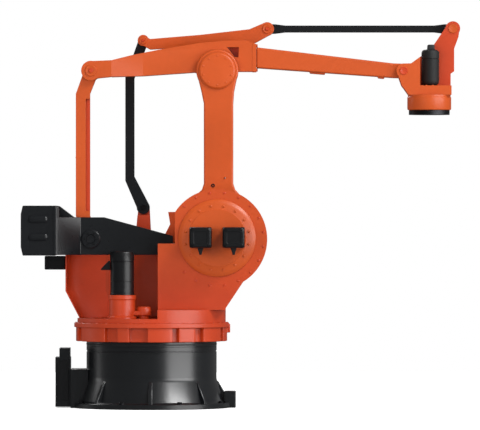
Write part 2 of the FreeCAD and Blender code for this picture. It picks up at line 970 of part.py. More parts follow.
def wrist_casting():
    body = body_at("wrist_casting", WRIST_X, ELBOW_Z)
    deep, inner = s.wrist_deep, s.wrist_in
    low = -s.wrist_low
    seat = -s.wrist_seat
    along_y(body, -deep, deep, [(35, low), (341, low), (341, seat), (-12, seat)])
    along_y(body, -deep, -inner, [
        (-38, -35),
        (-12, seat - 2),
        (35, low + 5),
        (117, low + 5),
        (117, 100),
        (52, 53),
        (0, 52),
    ])
    along_y(body, -deep, -inner, circle(0, 0, 52))
    along_y(body, inner, deep, [
        (-38, -35),
        (-12, seat - 2),
        (35, low + 5),
        (341, low + 5),
        (341, -17),
        (366, 0),
        (366, 163),
        (s.knob_dx + 40, s.knob_dz - 60),
        (s.knob_dx + 48, s.knob_dz),
        (s.knob_dx - 30, s.knob_dz + 40),
        (265, 256),
        (224, 195),
        (128, 108),
        (52, 53),
        (0, 52),
    ])
    along_y(body, inner, deep, circle(0, 0, 52))
    along_y(body, inner, s.rocker_far, circle(s.knob_dx, s.knob_dz, 52))
    along_y(body, inner, s.rocker_far, [
        (s.knob_dx - 62, s.knob_dz - 110),
        (s.knob_dx + 21, s.knob_dz - 110),
        (s.knob_dx + 42, s.knob_dz - 30),
        (s.knob_dx - 40, s.knob_dz - 33),
    ])
    slot = rect(s.knob_dx - 120, s.knob_dx + 80, s.knob_dz - 50, s.knob_dz + 80)
    cut_y(body, s.clevis_near, s.clevis_far, slot)
    cut_y(body, inner, s.rocker_far, circle(s.knob_dx, s.knob_dz, s.guide_pin_r))
    cut_y(body, -deep, deep, circle(0, 0, s.wrist_pin_r))


def wrist_gearbox():
    body = body_at("wrist_gearbox", FLANGE_X, ELBOW_Z)
    along_z(body, -s.collar_low, -s.wrist_low, circle(0, 0, s.collar_r))


def wrist_motor():
    body = body_at("wrist_motor", FLANGE_X + 8, ELBOW_Z)
    along_z(body, -s.wrist_seat, s.wrist_motor_top, circle(0, -4, s.wrist_motor_r))


def wrist_motor_plug():
    body = body_at("wrist_motor_plug", FLANGE_X + 8, ELBOW_Z)
    along_z(body, s.wrist_motor_top, s.wrist_motor_top + 38, rect(-25, 41, -30, 22))


def tool_flange():
    body = body_at("tool_flange", FLANGE_X, COLLAR_Z)
    low = -s.face_gap - s.flange_t
    turn_z(body, [
        (s.tool_bore_r, low),
        (s.flange_r, low),
        (s.flange_r, -s.face_gap),
        (0, -s.face_gap),
        (0, low + 12),
        (s.tool_bore_r, low + 12),
    ])
    hole = cut_z(body, low, low + 20, circle(s.tool_bolt_r, 0, s.tool_hole_r))
    repeat(body, [hole], "Z_Axis", 6)


def build_all():
    base_casting()
    bearing_ring()
    cable_box()
    slew_ring()
    turntable()
    near_cheek()
    far_cheek()
    front_web()
    far_wall()
    rear_wall()
    gear_cover("near_gear_cover", s.near_out, -1)
    gear_cover("far_gear_cover", s.far_out, 1)
    near_face = s.near_out - s.cover_t
    far_face = s.far_out + s.cover_t
    square_motor("near_rear_motor", -1, near_face - s.motor_long, near_face)
    square_motor("near_front_motor", 1, near_face - s.motor_long, near_face)
    square_motor("far_rear_motor", -1, far_face, far_face + s.motor_long)
    square_motor("far_front_motor", 1, far_face, far_face + s.motor_long)
    shoulder_shaft()
    slew_gearbox()
    slew_motor()
    slew_motor_plug()
    rod_bracket()
    bracket_pin()
    junction_box()
    link_arm()
    elbow_cap()
    elbow_pin()
    lever()
    counterweight()
    crank_pin()
    rear_push_rod()
    rear_pin()
    rocker()
    rocker_pins()
    guide_rod()
    wrist_rod()
    arm_casting()
    boom()
    wrist_casting()
    pin("wrist_pin", WRIST_X, ELBOW_Z, s.wrist_pin_r, -s.wrist_deep - 3, s.wrist_deep + 3)
    knob_x = WRIST_X + s.knob_dx
    pin("wrist_knob_pin", knob_x, ELBOW_Z + s.knob_dz, s.guide_pin_r, s.wrist_in, s.rocker_far + 4)
    wrist_gearbox()
    wrist_motor()
    wrist_motor_plug()
    tool_flange()


def check_all():
    """Stop on any object or shape that is not sound."""
    for item in DOC.Objects:
        if "Invalid" in item.State or "Error" in item.State:
            raise RuntimeError(f"{item.Label}: {item.State}")
    for body in PARTS:
        shape = body.Shape
        if shape.isNull() or not shape.isValid() or len(shape.Solids) != 1:
            raise RuntimeError(f"{body.Label}: {len(shape.Solids)} solids")
    for cut in CUTS:
        if cut.Shape.Volume >= cut.BaseFeature.Shape.Volume - 1e-6:
            raise RuntimeError(f"{cut.Label} removes nothing")


def export_all():
    os.makedirs("parts", exist_ok=True)
    for body in PARTS:
        body.Shape.exportStep(f"parts/{body.Label}.step")


build_all()
DOC.recompute()
check_all()
export_all()
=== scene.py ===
"""Looks of the palletizing robot arm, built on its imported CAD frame.

Lengths are in metres, unless a name or a docstring says millimetres. Most CAD nodes are shown
by a copy with rounded edges; the base, the motors, the rear wall and the gearboxes are shown
by turned, lofted or swept pieces of the same size.
"""
import json
import math

import bmesh
import bpy
from mathutils import Matrix, Vector


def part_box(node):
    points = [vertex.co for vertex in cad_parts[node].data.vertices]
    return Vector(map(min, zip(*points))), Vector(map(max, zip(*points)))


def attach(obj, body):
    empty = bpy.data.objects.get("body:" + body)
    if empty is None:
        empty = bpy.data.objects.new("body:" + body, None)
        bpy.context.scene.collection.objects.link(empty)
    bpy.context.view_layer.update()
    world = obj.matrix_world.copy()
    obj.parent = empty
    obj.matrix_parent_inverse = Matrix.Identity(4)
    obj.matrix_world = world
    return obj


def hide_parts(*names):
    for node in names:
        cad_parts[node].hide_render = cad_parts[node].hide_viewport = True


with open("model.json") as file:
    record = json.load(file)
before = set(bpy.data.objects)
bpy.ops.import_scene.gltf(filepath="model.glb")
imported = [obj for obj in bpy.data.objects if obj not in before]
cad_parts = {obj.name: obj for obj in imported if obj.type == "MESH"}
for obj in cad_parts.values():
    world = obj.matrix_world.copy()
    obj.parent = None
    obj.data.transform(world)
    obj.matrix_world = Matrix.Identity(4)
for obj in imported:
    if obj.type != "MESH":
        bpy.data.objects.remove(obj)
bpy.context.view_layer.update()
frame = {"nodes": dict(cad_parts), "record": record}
MM = 0.001
X, Y, Z = Vector((1, 0, 0)), Vector((0, 1, 0)), Vector((0, 0, 1))
NEAR, FAR, UP, DOWN, FRONT, BACK = -Y, Y, Z, -Z, X, -X
SCENE = bpy.context.scene


def centre(node):
    low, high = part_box(node)
    return (low + high) / 2


# pivots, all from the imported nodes
SHOULDER = centre("shoulder_shaft")
ELBOW = centre("elbow_pin")
REAR = centre("rear_pin")
CRANK = centre("crank_pin")
WRIST = centre("wrist_pin")
ROCKER_FRONT = centre("rocker_front_pin")
ROCKER_REAR = centre("rocker_rear_pin")
WRIST_KNOB = centre("wrist_knob_pin")
FLANGE = centre("tool_flange")

BASE_PLATE_TOP = 0.038
COVER_RISE_MM = 8  # the gear covers sit this much above the shoulder
LINK_FACE_MM = 100.5  # half the lower arm's width, and a little more
ROD_BAND_MM = 1786  # height of the cast band round the rear push rod
KNOB_FACE = 0.068  # near face of the wrist knob's lug


# materials

CAST_BUMP = 0.00012
POLISHED_BUMP = 0.000004
STEEL_BUMP = 0.00004
PLASTIC_BUMP = 0.00005
LIT_TOP_BLEND = (0.8, 1.2)  # heights between which a paint turns from its shaded colour into its lit top colour: painted light, brighter towards the top
# reach and share of the painted shade that darkens every paint in its corners
CORNER_SHADE_REACH, CORNER_SHADE_SHARE = 0.05, 0.5
SPECKLE_SHARE = 0.18
COAT_ROUGHNESS = 0.25
MOTTLE, SPECKLE, CASTING, PEEL = 2.3, 38, 60, 260  # scales of the paint's noises


class Shader:
    """A Principled material with a few short ways to add nodes."""

    def __init__(self, name, colour, roughness, metallic=0.0, coat=0.0):
        self.material = bpy.data.materials.new(name)
        self.material.use_nodes = True
        self.tree = self.material.node_tree
        self.base = self.tree.nodes["Principled BSDF"]
        self.base.inputs["Base Color"].default_value = (*colour, 1)
        self.base.inputs["Roughness"].default_value = roughness
        self.base.inputs["Metallic"].default_value = metallic
        self.base.inputs["Coat Weight"].default_value = coat
        self.base.inputs["Coat Roughness"].default_value = COAT_ROUGHNESS
        self.place = self.node("ShaderNodeTexCoord").outputs["Object"]

    def node(self, kind, **settings):
        made = self.tree.nodes.new(kind)
        for name, value in settings.items():
            setattr(made, name, value)
        return made

    def link(self, source, target):
        self.tree.links.new(source, target)

    def colour_from(self, source):
        self.link(source, self.base.inputs["Base Color"])

    def noise(self, scale, detail=4.0, roughness=0.6, stretch=(1, 1, 1)):
        mapping = self.node("ShaderNodeMapping")
        mapping.inputs["Scale"].default_value = stretch
        self.link(self.place, mapping.inputs["Vector"])
        noise = self.node("ShaderNodeTexNoise")
        noise.inputs["Scale"].default_value = scale
        noise.inputs["Detail"].default_value = detail
        noise.inputs["Roughness"].default_value = roughness
        self.link(mapping.outputs["Vector"], noise.inputs["Vector"])
        return noise.outputs["Fac"]

    def ramp(self, value, *stops):
        """Turn a value into a colour, by stops of (position, colour)."""
        holder = self.node("ShaderNodeValToRGB")
        ramp = holder.color_ramp
        for element, (position, colour) in zip(ramp.elements, (stops[0], stops[-1])):
            element.position, element.color = position, (*colour, 1)
        for position, colour in stops[1:-1]:
            ramp.elements.new(position).color = (*colour, 1)
        self.link(value, holder.inputs["Fac"])
        return holder.outputs["Color"]

    def mix(self, factor, first, second, blend="MIX"):
        """Mix two colours; each input is a number, a colour or another node's output."""
        mix = self.node("ShaderNodeMix", data_type="RGBA", blend_type=blend)
        sockets = mix.inputs[0], mix.inputs[6], mix.inputs[7]
        for value, socket in zip((factor, first, second), sockets):
            if isinstance(value, (int, float)):
                socket.default_value = value
            elif isinstance(value, tuple):
                socket.default_value = (*value, 1)
            else:
                self.link(value, socket)
        return mix.outputs[2]

    def crevices(self, reach):
        """Bright on open faces, dark in corners: painted shade where the corners are shaded."""
        ao = self.node("ShaderNodeAmbientOcclusion", samples=6)
        ao.inputs["Distance"].default_value = reach
        return ao.outputs["AO"]

    def spread(self, value, **ends):
        """Map a value from one range to another."""
        spread = self.node("ShaderNodeMapRange")
        for name, end in ends.items():
            spread.inputs[name.replace("_", " ").title()].default_value = end
        self.link(value, spread.inputs["Value"])
        return spread.outputs["Result"]

    def height(self, low, high):
        """0 at the low height and 1 at the high one."""
        split = self.node("ShaderNodeSeparateXYZ")
        self.link(self.place, split.inputs["Vector"])
        return self.spread(split.outputs["Z"], from_min=low, from_max=high)

    def roughen(self, value, low, high):
        self.link(self.spread(value, to_min=low, to_max=high), self.base.inputs["Roughness"])

    def bumps(self, *layers):
        """Stack bumps, each given as a value and its height in metres."""
        normal = None
        for value, height in layers:
            bump = self.node("ShaderNodeBump")
            bump.inputs["Strength"].default_value = 1.0
            bump.inputs["Distance"].default_value = height
            self.link(value, bump.inputs["Height"])
            if normal is not None:
                self.link(normal, bump.inputs["Normal"])
            normal = bump.outputs["Normal"]
        self.link(normal, self.base.inputs["Normal"])


def shade(colour, factor):
    return tuple(min(1.0, part * factor) for part in colour)


def paint(name, colour, roughness, coat, cast=CAST_BUMP, lit_top_colour=None):
    """Sprayed paint on a casting: faint mottling, painted shade in corners, orange peel, and, when
    a lit top colour is given, painted light that turns it into that colour towards the top.
    """
    made = Shader(name, colour, roughness, coat=coat)
    broad = made.noise(MOTTLE, detail=3)
    fine = made.noise(SPECKLE, detail=6, roughness=0.7)
    duller, brighter = shade(colour, 0.88), shade(colour, 1.08)
    mottled = made.ramp(broad, (0.3, duller), (0.5, colour), (0.75, brighter))
    # painted light: the paint blends into its lit top colour with height
    if lit_top_colour:
        mottled = made.mix(made.height(*LIT_TOP_BLEND), mottled, lit_top_colour)
    specks = made.ramp(fine, (0.35, shade(colour, 0.8)), (0.7, shade(colour, 1.1)))
    speckled = made.mix(SPECKLE_SHARE, mottled, specks)
    # painted shade: the paint is darkened in corners, where shade falls
    corner_shade = made.ramp(made.crevices(CORNER_SHADE_REACH), (0.0, (0.42, 0.3, 0.3)), (0.65, (1, 1, 1)))
    made.colour_from(made.mix(CORNER_SHADE_SHARE, speckled, corner_shade, "MULTIPLY"))
    made.roughen(fine, roughness - 0.06, roughness + 0.1)
    made.bumps((made.noise(PEEL, detail=2), cast / 2), (made.noise(CASTING, detail=5), cast))
    return made.material


def steel(name, colour, roughness):
    """Turned steel: fine scratches and a little oil."""
    made = Shader(name, colour, roughness, metallic=1.0)
    scratch = made.noise(90, detail=5, stretch=(1, 12, 1))
    oil = made.noise(9, detail=3)
    made.colour_from(made.ramp(oil, (0.3, shade(colour, 0.75)), (0.7, shade(colour, 1.1))))
    made.roughen(scratch, roughness - 0.1, roughness + 0.15)
    made.bumps((scratch, STEEL_BUMP))
    return made.material


def plastic(name, colour, roughness):
    """Moulded plastic with a fine spark-eroded grain."""
    made = Shader(name, colour, roughness)
    grain = made.noise(420, detail=3)
    dust = made.noise(6, detail=4)
    made.colour_from(made.ramp(dust, (0.35, colour), (0.8, shade(colour, 1.5))))
    made.roughen(dust, roughness - 0.05, roughness + 0.1)
    made.bumps((grain, PLASTIC_BUMP))
    return made.material


def floor_material():
    """White studio floor with a little light of its own."""
    made = Shader("floor_white", (0.95, 0.95, 0.95), 0.9)
    made.base.inputs["Emission Color"].default_value = (1, 1, 1, 1)
    made.base.inputs["Emission Strength"].default_value = 0.55
    tint = made.ramp(made.noise(0.8), (0.3, (0.93, 0.93, 0.93)), (0.7, (0.96, 0.96, 0.96)))
    made.colour_from(tint)
    return made.material


ORANGE = paint("orange_paint", (0.545, 0.076, 0.0075), 0.38, 0.15)
# The arms' orange made darker and redder: painted shade, used on the lower body with its screws,
# nuts and gearbox, and in recesses and gaps.
SHADED_ORANGE = paint("orange_paint_in_shade", (0.52, 0.046, 0.0075), 0.36, 0.2)
# The cheeks turn from the shaded orange low down to a lit orange high up: painted light and shade
# by height.
CHEEK_SHADED_TO_LIT = paint("cheek_paint_lit_top", (0.52, 0.046, 0.0075), 0.36, 0.2, lit_top_colour=(0.535, 0.068, 0.0075))
# A lighter red for the trough's rear wall: painted light, standing for light falling into the
# trough.
TROUGH_LIT_PAINT = paint("trough_lit_paint", (0.61, 0.052, 0.0115), 0.4, 0.15)
BLACK = paint("black_paint", (0.0075, 0.0085, 0.010), 0.28, 0.15)
GLOSS_BLACK = paint("gloss_black_paint", (0.0055, 0.0065, 0.008), 0.3, 1.0, POLISHED_BUMP)
MOTOR = paint("motor_paint", (0.0045, 0.005, 0.006), 0.36, 0.15)
MATT_BLACK = paint("matt_black_paint", (0.009, 0.0095, 0.0095), 0.62, 0.0)
STEEL = steel("turned_steel", (0.42, 0.42, 0.43), 0.38)
DARK_STEEL = steel("blackened_steel", (0.05, 0.05, 0.055), 0.42)
PLASTIC = plastic("connector_plastic", (0.012, 0.012, 0.013), 0.5)

SQUARE_MOTORS = ("near_rear_motor", "near_front_motor", "far_rear_motor", "far_front_motor")
NODE_PAINT = {node: material for material, nodes in (
    (SHADED_ORANGE, (
        "slew_ring", "turntable", "front_web", "far_wall", "rear_wall", "rod_bracket",
        "slew_gearbox",
    )),
    (CHEEK_SHADED_TO_LIT, ("near_cheek", "far_cheek")),
    (ORANGE, (
        "link_arm", "elbow_cap", "rear_push_rod", "rocker", "arm_casting", "boom",
        "wrist_casting", "wrist_gearbox", "near_gear_cover", "far_gear_cover",
    )),
    (BLACK, ("lever", "counterweight", "guide_rod", "wrist_rod", "cable_box")),
    (GLOSS_BLACK, ("base_casting", "bearing_ring")),
    (MOTOR, SQUARE_MOTORS + (
        "slew_motor", "slew_motor_plug", "junction_box", "wrist_motor", "wrist_motor_plug",
    )),
    (DARK_STEEL, ("crank_pin", "bracket_pin", "tool_flange", "shoulder_shaft")),
    (STEEL, (
        "elbow_pin", "rear_pin", "rocker_front_pin", "rocker_rear_pin", "wrist_knob_pin",
        "wrist_pin",
    )),
) for node in nodes}

# nodes shown by a copy with rounded edges, and the width of the rounding
ROUNDED = {
    "bearing_ring": 0.003, "cable_box": 0.006, "slew_ring": 0.005, "turntable": 0.010,
    "near_cheek": 0.012, "far_cheek": 0.012, "front_web": 0.008, "far_wall": 0.008,
    "near_gear_cover": 0.004, "far_gear_cover": 0.004, "slew_motor_plug": 0.006,
    "rod_bracket": 0.008, "junction_box": 0.008, "link_arm": 0.018, "elbow_cap": 0.005,
    "lever": 0.010, "counterweight": 0.014, "rear_push_rod": 0.006, "rocker": 0.010,
    "guide_rod": 0.007, "wrist_rod": 0.006, "arm_casting": 0.016, "boom": 0.014,
    "wrist_casting": 0.012, "tool_flange": 0.003,
}


# making pieces


def soften(piece, width, segments, angle):
    """Round a piece's hard edges."""
    round_off = piece.modifiers.new("rounded", "BEVEL")
    round_off.width = width
    round_off.segments = segments
    round_off.limit_method = "ANGLE"
    round_off.angle_limit = math.radians(angle)
    round_off.harden_normals = True
    round_off.use_clamp_overlap = True
    round_off.miter_outer = "MITER_ARC"


def from_bmesh(name, bm, body, material, bevel=0.0, segments=2, angle=32):
    """Make a piece that rides on a body; edges sharper than the angle stay hard or are rounded."""
    mesh = bpy.data.meshes.new(name)
    bmesh.ops.recalc_face_normals(bm, faces=bm.faces)
    bm.to_mesh(mesh)
    bm.free()
    for face in mesh.polygons:
        face.use_smooth = True
    mesh.set_sharp_from_angle(angle=math.radians(angle))
    mesh.materials.append(material)
    piece = bpy.data.objects.new(name, mesh)
    SCENE.collection.objects.link(piece)
    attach(piece, body)
    if bevel:
        soften(piece, bevel, segments, angle)
    return piece


def body_of(node):
    bodies = frame["record"]["behaviour"]["bodies"]
    return next(name for name, nodes in bodies.items() if node in nodes)


def rounded_node(node, width):
    """Stand in for a CAD node with the same shape and rounded edges."""
    bm = bmesh.new()
    bm.from_mesh(frame["nodes"][node].data)
    bmesh.ops.remove_doubles(bm, verts=bm.verts, dist=1e-6)
    bmesh.ops.dissolve_limit(bm, angle_limit=math.radians(0.3), verts=bm.verts, edges=bm.edges)
    piece = from_bmesh(f"{node}_shape", bm, body_of(node), NODE_PAINT[node], width, 3)
    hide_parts(node)
    return piece


def second_paint(piece, material, chosen):
    """Paint the faces whose centre is chosen in another material."""
    piece.data.materials.append(material)
    for face in piece.data.polygons:
        if chosen(face.center):
            face.material_index = 1


def at(pivot, x, y, z):
    """A place in the scene: x and z by millimetres from a pivot, y by millimetres from 0."""
    return Vector((pivot.x + x * MM, y * MM, pivot.z + z * MM))


def axis_frame(place, axis):
    """A matrix that takes +Z to the axis and the origin to the place."""
    return Matrix.Translation(place) @ Z.rotation_difference(axis).to_matrix().to_4x4()


def circle(radius, height, count, start=0.0):
    """Points round +Z, from a start in degrees."""
    turns = (math.radians(start) + 2 * math.pi * step / count for step in range(count))
    return [Vector((radius * math.cos(a), radius * math.sin(a), height)) for a in turns]


def circle_into(bm, matrix, radius, height, steps):
    return [bm.verts.new(matrix @ spot) for spot in circle(radius, height, steps)]


def ring_spots(middle, axis, radius, count, start=0.0):
    """Places evenly round an axis."""
    matrix = axis_frame(middle, axis)
    return [matrix @ spot for spot in circle(radius, 0, count, start)]


def lathe_into(bm, profile, matrix, steps=48):
    """Add a turned solid: profile of (radius, height) from the axis out and back."""
    rings = []
    for radius, height in profile:
        if radius == 0:
            rings.append([bm.verts.new(matrix @ Vector((0, 0, height)))])
        else:
            rings.append(circle_into(bm, matrix, radius, height, steps))
    for low, high in zip(rings, rings[1:]):
        for step in range(steps):
            after = (step + 1) % steps
            if len(low) == 1:
                bm.faces.new((low[0], high[step], high[after]))
            elif len(high) == 1:
                bm.faces.new((low[step], high[0], low[after]))
            else:
                bm.faces.new((low[step], high[step], high[after], low[after]))
    return rings


def lathe(name, body, material, profile, place, axis, steps=64):
    bm = bmesh.new()
    lathe_into(bm, profile, axis_frame(place, axis), steps)
    return from_bmesh(name, bm, body, material)


def block_into(bm, low, high):
    xs, ys, zs = zip(low, high)
    verts = [bm.verts.new((x, y, z)) for x in xs for y in ys for z in zs]
    for ring in (
        (0, 1, 3, 2), (4, 6, 7, 5), (0, 4, 5, 1), (2, 3, 7, 6), (0, 2, 6, 4), (1, 5, 7, 3),
    ):
        bm.faces.new([verts[index] for index in ring])


def prism_into(bm, outline, near, far):
    """Add an outline of (x, z) points from Y near to Y far."""
    front = [bm.verts.new((x, near, z)) for x, z in outline]
    back = [bm.verts.new((x, far, z)) for x, z in outline]
    bm.faces.new(front)
    bm.faces.new(list(reversed(back)))
    for step in range(len(outline)):
        after = (step + 1) % len(outline)
        bm.faces.new((front[step], back[step], back[after], front[after]))


def loft_into(bm, rings):
    """Join closed rings of equal length and cap both ends."""
    rows = [[bm.verts.new(spot) for spot in ring] for ring in rings]
    count = len(rows[0])
    for low, high in zip(rows, rows[1:]):
        for step in range(count):
            after = (step + 1) % count
            bm.faces.new((low[step], low[after], high[after], high[step]))
    bm.faces.new(list(reversed(rows[0])))
    bm.faces.new(rows[-1])


def rounded_rect(half_w, half_h, radius, steps=5):
    """Corner-rounded rectangle as (u, v) points."""
    points = []
    for quarter, (u, v) in enumerate(((1, 1), (-1, 1), (-1, -1), (1, -1))):
        for step in range(steps + 1):
            turn = math.pi / 2 * (quarter + step / steps)
            points.append((
                u * (half_w - radius) + radius * math.cos(turn),
                v * (half_h - radius) + radius * math.sin(turn),
            ))
    return points


def boxy(name, body, material, middle, axis, side, half_w, half_h, profile):
    """A rounded-rectangle solid along an axis: profile of (distance, inset, corner radius)."""
    up = axis.cross(side)
    bm = bmesh.new()
    rings = []
    for distance, inset, radius in profile:
        outline = rounded_rect(half_w - inset, half_h - inset, radius)
        rings.append([middle + axis * distance + side * u + up * v for u, v in outline])
    loft_into(bm, rings)
    return from_bmesh(name, bm, body, material)


def plate(name, body, material, pivot, outline, near, far, bevel):
    """A flat piece in X and Z, by millimetres from a pivot, between two Y values."""
    bm = bmesh.new()
    outline = [(pivot.x + x * MM, pivot.z + z * MM) for x, z in outline]
    prism_into(bm, outline, near * MM, far * MM)
    return from_bmesh(name, bm, body, material, bevel)


def blocks(name, body, material, boxes, bevel=0.002, segments=2):
    """Several bevelled blocks in one piece, each as low and high corners in millimetres."""
    bm = bmesh.new()
    for low, high in boxes:
        block_into(bm, [v * MM for v in low], [v * MM for v in high])
    return from_bmesh(name, bm, body, material, bevel, segments)


# screws, bolts, caps and glands; a profile is (radius, height) in units of the size

BUTTON_HEAD = ((0, 0), (0.95, 0), (0.95, 0.12), (0.8, 0.36), (0.5, 0.5), (0, 0.5))
BUTTON_SOCKET = ((0, 0), (0.34, 0), (0.34, 0.04), (0.26, 0.04), (0.2, 0.01), (0, 0.01))
WASHER = ((0, 0), (1.05, 0), (1.05, 0.14), (0.8, 0.16), (0, 0.16))
GLAND_NUT = ((0, 0), (1.15, 0), (1.15, 0.6), (1.035, 0.7), (0, 0.7))
GLAND_PLUG = ((0, 0.7), (0.85, 0.7), (0.85, 1.2), (0.6, 1.5), (0, 1.5))
SOCKET_STEPS = 20


def scaled(profile, size):
    return [(radius * size, height * size) for radius, height in profile]


def grid_spots(middle, half_u, half_v, us, vs):
    """Places on an upright face: middle and half sizes, times each u along X and v along Z."""
    return [middle + X * (u * half_u) + Z * (v * half_v) for u in us for v in vs]


def socket_screws(name, body, spots, axis, size):
    """Socket-head cap screws: the head is 1.5 sizes across and one size high."""
    bm = bmesh.new()
    head = size * 0.75
    profile = [(0, 0), (head, 0), (head, size * 0.85), (head * 0.9, size)]
    for spot in spots:
        matrix = axis_frame(spot, axis)
        rim = lathe_into(bm, profile, matrix, SOCKET_STEPS)[-1]
        mouth = circle_into(bm, matrix, size * 0.42, size, SOCKET_STEPS)
        bottom = circle_into(bm, matrix, size * 0.4, size - size * 0.45, SOCKET_STEPS)
        for step in range(SOCKET_STEPS):
            after = (step + 1) % SOCKET_STEPS
            for low, high in ((rim, mouth), (mouth, bottom)):
                bm.faces.new((low[step], high[step], high[after], low[after]))
        bm.faces.new(bottom)
    return from_bmesh(name, bm, body, DARK_STEEL)


def button_screws(name, body, spots, axis, size, material):
    """Painted low-head screws: a dome about twice the size across with a shallow hexagon."""
    bm = bmesh.new()
    for spot in spots:
        matrix = axis_frame(spot, axis)
        lathe_into(bm, scaled(BUTTON_HEAD, size), matrix, 18)
        on_top = matrix @ Matrix.Translation((0, 0, size * 0.5))
        lathe_into(bm, scaled(BUTTON_SOCKET, size), on_top, 6)
    return from_bmesh(name, bm, body, material)


def hex_bolts(name, body, spots, axis, size, material):
    """Hexagon bolts with a washer: head across flats 1.5 times the size."""
    bm = bmesh.new()
    corner = size * 1.5 / math.sqrt(3)
    low, shoulder, top = size * 0.16, size * 0.72, size * 0.82
    head = [(0, low), (corner, low), (corner, shoulder), (corner * 0.86, top), (0, top)]
    for spot in spots:
        matrix = axis_frame(spot, axis)
        lathe_into(bm, scaled(WASHER, size), matrix, 28)
        lathe_into(bm, head, matrix, 6)
    return from_bmesh(name, bm, body, material, angle=25)


def cap(name, body, material, place, axis, radius, height, dish=0.35):
    """A turned cap with a chamfer and a shallow dished face."""
    edge = min(height * 0.4, 0.004)
    profile = [
        (0, 0), (radius, 0), (radius, height - edge), (radius - edge, height),
        (radius * 0.74, height), (radius * 0.70, height - edge * dish), (0, height - edge * dish),
    ]
    return lathe(name, body, material, profile, place, axis)


def grease_nipple(name, body, place, axis):
    return lathe(name, body, STEEL, [
        (0, 0), (0.0055, 0), (0.0055, 0.006), (0.0035, 0.007), (0.0032, 0.013),
        (0.0045, 0.015), (0.0025, 0.019), (0, 0.019),
    ], place, axis, steps=20)


def gland(name, body, place, axis, radius):
    """A cable gland closed with a blanking plug."""
    bm = bmesh.new()
    matrix = axis_frame(place, axis)
    lathe_into(bm, scaled(GLAND_NUT, radius), matrix, 6)
    lathe_into(bm, scaled(GLAND_PLUG, radius), matrix, 28)
    return from_bmesh(name, bm, body, PLASTIC, angle=25)


# base

BASE_RIBS = 8


def base_casting():
    """The turned base with its flared skirt, ribs, cable tray and front foot."""
    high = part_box("base_casting")[1]
    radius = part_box("bearing_ring")[1].x
    skirt, plate_r, top = 0.515, high.y, BASE_PLATE_TOP
    bm = bmesh.new()
    lathe_into(bm, [
        (0, 0), (plate_r - 0.003, 0), (plate_r, 0.003), (plate_r, top - 0.005),
        (plate_r - 0.005, top), (skirt + 0.010, top), (skirt + 0.003, top + 0.003),
        (skirt - 0.003, top + 0.014),
        (radius + 0.012, 0.172), (radius + 0.005, 0.190), (radius + 0.001, 0.204), (radius, 0.222),
        (radius, 0.400), (radius - 0.004, 0.402), (radius - 0.004, 0.409), (radius, 0.411),
        (radius, high.z), (0, high.z),
    ], Matrix(), 192)
    body = from_bmesh("base_shape", bm, "base", GLOSS_BLACK, angle=40)
    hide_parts("base_casting")
    rib = [
        (radius - 0.015, top - 0.004), (plate_r - 0.006, top - 0.004),
        (plate_r - 0.009, top + 0.018), (radius + 0.052, 0.120), (radius + 0.014, 0.186),
        (radius - 0.015, 0.212),
    ]
    for number in range(BASE_RIBS):
        bm = bmesh.new()
        prism_into(bm, rib, -0.014, 0.014)
        turn = Matrix.Rotation(2 * math.pi / BASE_RIBS * number, 3, "Z")
        bmesh.ops.rotate(bm, cent=(0, 0, 0), matrix=turn, verts=bm.verts)
        from_bmesh(f"base_rib_{number}", bm, "base", GLOSS_BLACK, 0.006, 3)
    tray = (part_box("cable_box")[1].x / MM, -140, 0), (-radius / MM + 20, 140, 278)
    foot = (plate_r / MM - 40, -70, 0), (high.x / MM, 70, 120)
    blocks("cable_tray", "base", GLOSS_BLACK, [tray], 0.008, 3)
    blocks("front_foot", "base", GLOSS_BLACK, [foot], 0.008, 3)


def base_details():
    """Floor bolts, the bearing's seal, and the cable box's lids, screws and glands."""
    bolt_circle, lid_rise = 0.538, 0.19
    floor_spots = ring_spots(Vector((0, 0, BASE_PLATE_TOP)), UP, bolt_circle, BASE_RIBS, 22.5)
    hex_bolts("floor_bolts", "base", floor_spots, UP, 0.020, DARK_STEEL)
    lathe("bearing_seal", "base", PLASTIC, [
        (0.40, 0.012), (0.4665, 0.012), (0.4675, 0.016), (0.4665, 0.020), (0.40, 0.020),
    ], Vector((0, 0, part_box("base_casting")[1].z)), UP, steps=128)
    low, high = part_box("cable_box")
    lid = Vector((low.x + 0.004, 0, low.z + lid_rise))
    boxy("cable_box_lid", "base", MOTOR, lid, BACK, Y, 0.088, 0.135, [
        (-0.003, 0, 0.008), (0.002, 0, 0.008), (0.0035, 0.002, 0.007),
        (0.0035, 0.016, 0.004), (0.0025, 0.017, 0.004), (0.0025, 0.08, 0.003),
    ])
    lid_spots = [lid + Y * y + Z * z for y in (-0.078, 0.078) for z in (-0.125, 0, 0.125)]
    socket_screws("cable_box_screws", "base", lid_spots, BACK, 0.004)
    front = Vector(((low.x + high.x) / 2, low.y, low.z + lid_rise))
    boxy("cable_box_front_lid", "base", MOTOR, front, NEAR, X, 0.040, 0.145, [
        (-0.002, 0, 0.006), (0.003, 0, 0.006), (0.0045, 0.002, 0.005),
        (0.0045, 0.012, 0.004), (0.0035, 0.013, 0.004), (0.0035, 0.036, 0.003),
    ])
    for number, z in enumerate((0.11, 0.18, 0.25)):
        gland(f"cable_gland_{number}", "base", Vector((low.x + 0.053, high.y, z)), FAR, 0.017)


# slewing ring and turntable


